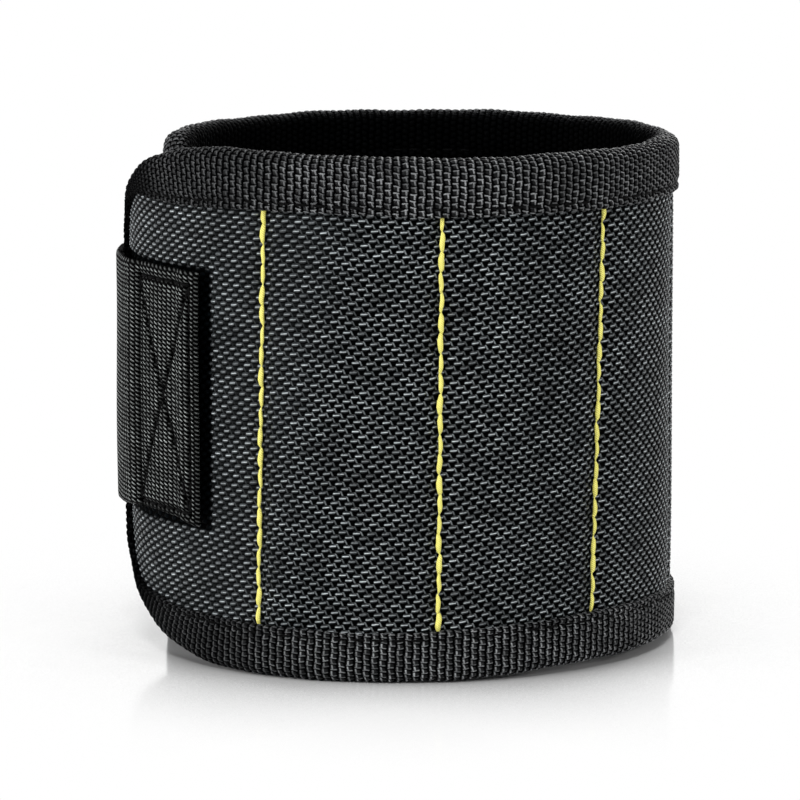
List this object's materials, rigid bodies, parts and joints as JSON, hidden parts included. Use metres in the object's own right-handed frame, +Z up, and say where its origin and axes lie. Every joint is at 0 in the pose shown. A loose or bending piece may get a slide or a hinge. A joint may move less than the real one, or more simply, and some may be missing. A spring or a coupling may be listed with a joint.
{
  "type": "magnetic wristband",
  "caption": "Closed magnetic wristband: a padded cloth ring with stitched magnet pockets, taped edges and a hook-and-loop strap. It unrolls flat.",
  "frame": {"origin": "under the middle of the closed ring's outline, on the surface that it stands on", "axes": "+Z up along the ring's axis, -Y towards the front with the stitched pockets, +X to the right"},
  "size_m": [0.1, 0.098, 0.0903],
  "materials": {
    "outer_cloth": "coarse plain weave nylon",
    "binding_tape": "woven tape",
    "lining_mesh": "padded air mesh",
    "strap_webbing": "ribbed webbing",
    "hook_tape": "hook tape",
    "loop_tape": "loop pile",
    "seam_thread": "twisted thread",
    "magnet_nickel": "nickel plate",
    "carrier_plastic": "moulded"
  },
  "bodies": {
    "pocket_1": {"pocket_1_cloth": "outer_cloth", "pocket_1_lining": "lining_mesh", "pocket_1_top_binding": "binding_tape", "pocket_1_bottom_binding": "binding_tape", "pocket_1_magnet_carrier": "carrier_plastic", "pocket_1_magnet_1": "magnet_nickel", "pocket_1_magnet_2": "magnet_nickel", "pocket_1_magnet_3": "magnet_nickel", "seam_1_thread": "seam_thread"},
    "pocket_2": {"pocket_2_cloth": "outer_cloth", "pocket_2_lining": "lining_mesh", "pocket_2_top_binding": "binding_tape", "pocket_2_bottom_binding": "binding_tape", "pocket_2_magnet_carrier": "carrier_plastic", "pocket_2_magnet_1": "magnet_nickel", "pocket_2_magnet_2": "magnet_nickel", "pocket_2_magnet_3": "magnet_nickel", "seam_2_thread": "seam_thread"},
    "pocket_3": {"pocket_3_cloth": "outer_cloth", "pocket_3_lining": "lining_mesh", "pocket_3_top_binding": "binding_tape", "pocket_3_bottom_binding": "binding_tape", "pocket_3_magnet_carrier": "carrier_plastic", "pocket_3_magnet_1": "magnet_nickel", "pocket_3_magnet_2": "magnet_nickel", "pocket_3_magnet_3": "magnet_nickel", "seam_3_thread": "seam_thread"},
    "pocket_4": {"pocket_4_cloth": "outer_cloth", "pocket_4_lining": "lining_mesh", "pocket_4_top_binding": "binding_tape", "pocket_4_bottom_binding": "binding_tape", "pocket_4_magnet_carrier": "carrier_plastic", "pocket_4_magnet_1": "magnet_nickel", "pocket_4_magnet_2": "magnet_nickel", "pocket_4_magnet_3": "magnet_nickel", "seam_4_thread": "seam_thread", "seam_5_thread": "seam_thread"},
    "tongue": {"tongue_cloth": "outer_cloth", "tongue_lining": "lining_mesh", "tongue_binding": "binding_tape", "strap_root": "strap_webbing"},
    "wrap_1": {"wrap_1_cloth": "outer_cloth", "wrap_1_lining": "lining_mesh", "wrap_1_top_binding": "binding_tape", "wrap_1_bottom_binding": "binding_tape"},
    "wrap_2": {"wrap_2_cloth": "outer_cloth", "wrap_2_lining": "lining_mesh", "wrap_2_top_binding": "binding_tape", "wrap_2_bottom_binding": "binding_tape", "loop_pad_1": "loop_tape"},
    "wrap_end": {"wrap_end_cloth": "outer_cloth", "wrap_end_lining": "lining_mesh", "wrap_end_binding": "binding_tape", "loop_pad_2": "loop_tape"},
    "strap_middle": {"strap_middle": "strap_webbing", "hook_pad_1": "hook_tape"},
    "strap_tip": {"strap_tip": "strap_webbing", "hook_pad_2": "hook_tape"}
  },
  "joints": [
    {"name": "unroll", "type": "hinge", "parent": "pocket_2", "child": "pocket_3", "pos_m": [0.03488, -0.03535, 0.045], "axis": [0, 0, -1], "range_deg": [0, 36.6]},
    {"name": "seam_4_bend", "type": "hinge", "parent": "pocket_3", "child": "pocket_4", "pos_m": [0.04932, -0.00806, 0.045], "axis": [0, 0, -1], "range_deg": [0, 37.1]},
    {"name": "wrap_1_bend", "type": "hinge", "parent": "pocket_4", "child": "wrap_1", "pos_m": [0.04429, 0.02228, 0.045], "axis": [0, 0, -1], "range_deg": [0, 46.98]},
    {"name": "wrap_2_bend", "type": "hinge", "parent": "wrap_1", "child": "wrap_2", "pos_m": [0.00612, 0.04625, 0.045], "axis": [0, 0, -1], "range_deg": [0, 56.86]},
    {"name": "wrap_end_bend", "type": "hinge", "parent": "wrap_2", "child": "wrap_end", "pos_m": [-0.03259, 0.02817, 0.045], "axis": [0, 0, -1], "range_deg": [0, 56.86]},
    {"name": "seam_2_bend", "type": "hinge", "parent": "pocket_2", "child": "pocket_1", "pos_m": [0.00701, -0.04862, 0.045], "axis": [0, 0, 1], "range_deg": [0, 37.1]},
    {"name": "tongue_bend", "type": "hinge", "parent": "pocket_1", "child": "tongue", "pos_m": [-0.02327, -0.04264, 0.045], "axis": [0, 0, 1], "range_deg": [0, 51.01]},
    {"name": "strap_peel", "type": "hinge", "parent": "tongue", "child": "strap_middle", "pos_m": [-0.04997, 0.00362, 0.045], "axis": [0, 0, 1], "range_deg": [0, 73.7]},
    {"name": "strap_tip_bend", "type": "hinge", "parent": "strap_middle", "child": "strap_tip", "pos_m": [-0.0319, 0.03376, 0.045], "axis": [0, 0, 1], "range_deg": [0, 42.22]}
  ],
  "couplings": [
    {"joint": "seam_4_bend", "follows": "unroll", "ratio": 1},
    {"joint": "wrap_1_bend", "follows": "unroll", "ratio": 1.27},
    {"joint": "wrap_2_bend", "follows": "unroll", "ratio": 1.54},
    {"joint": "wrap_end_bend", "follows": "unroll", "ratio": 1.54},
    {"joint": "seam_2_bend", "follows": "unroll", "ratio": 1},
    {"joint": "tongue_bend", "follows": "unroll", "ratio": 1.38},
    {"joint": "strap_peel", "follows": "unroll", "ratio": 2},
    {"joint": "strap_tip_bend", "follows": "unroll", "ratio": 1.14}
  ]
}
